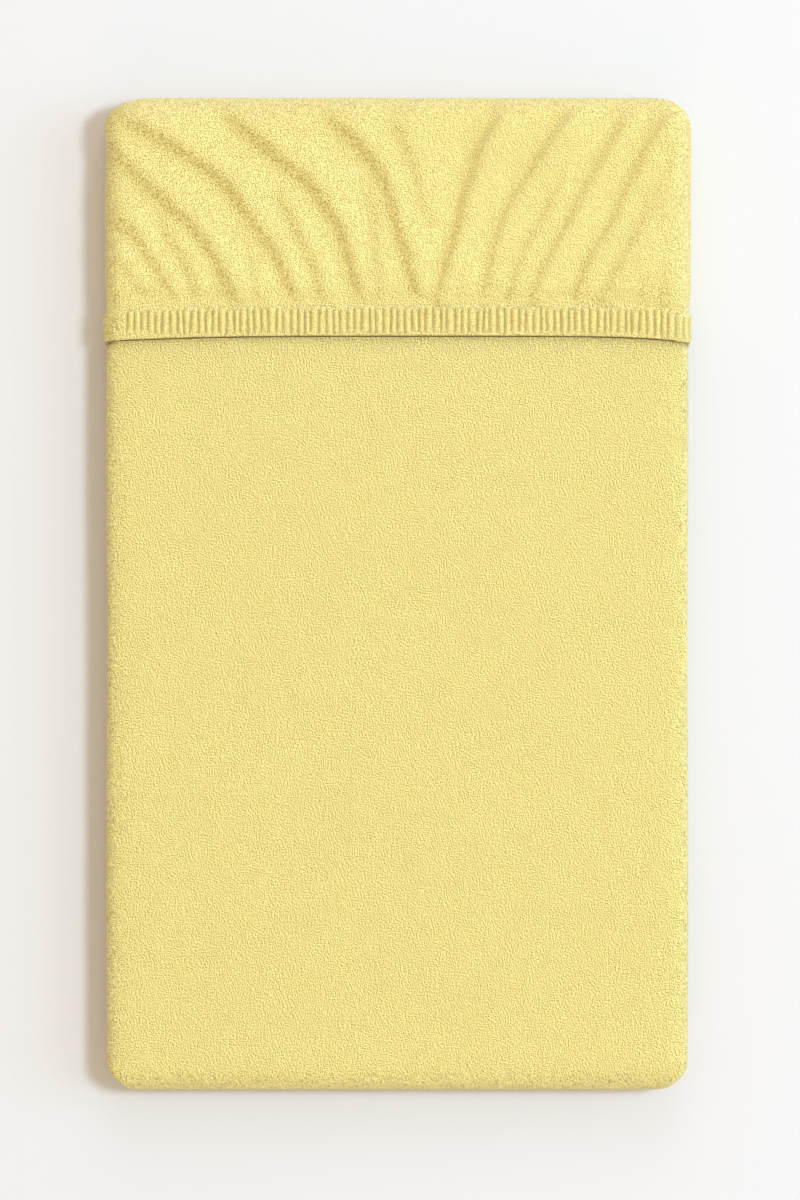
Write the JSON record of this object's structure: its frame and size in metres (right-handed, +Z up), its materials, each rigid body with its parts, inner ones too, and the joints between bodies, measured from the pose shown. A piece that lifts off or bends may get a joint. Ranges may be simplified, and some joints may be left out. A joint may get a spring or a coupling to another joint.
{
  "type": "folded fitted sheet",
  "caption": "Terry fitted sheet for a cot mattress, folded flat into a bundle, its gathered end pocket pulled over one end with a ribbed elastic hem.",
  "frame": {"origin": "middle of the bundle's underside, on the surface that it lies on", "axes": "+Y along the bundle, towards the end that the pocket covers; +X across it; +Z up through its layers"},
  "size_m": [0.253, 0.4266, 0.0301],
  "materials": {
    "terry": "pale yellow looped terry"
  },
  "bodies": {
    "root": {"fitted_sheet": "terry"}
  },
  "joints": []
}
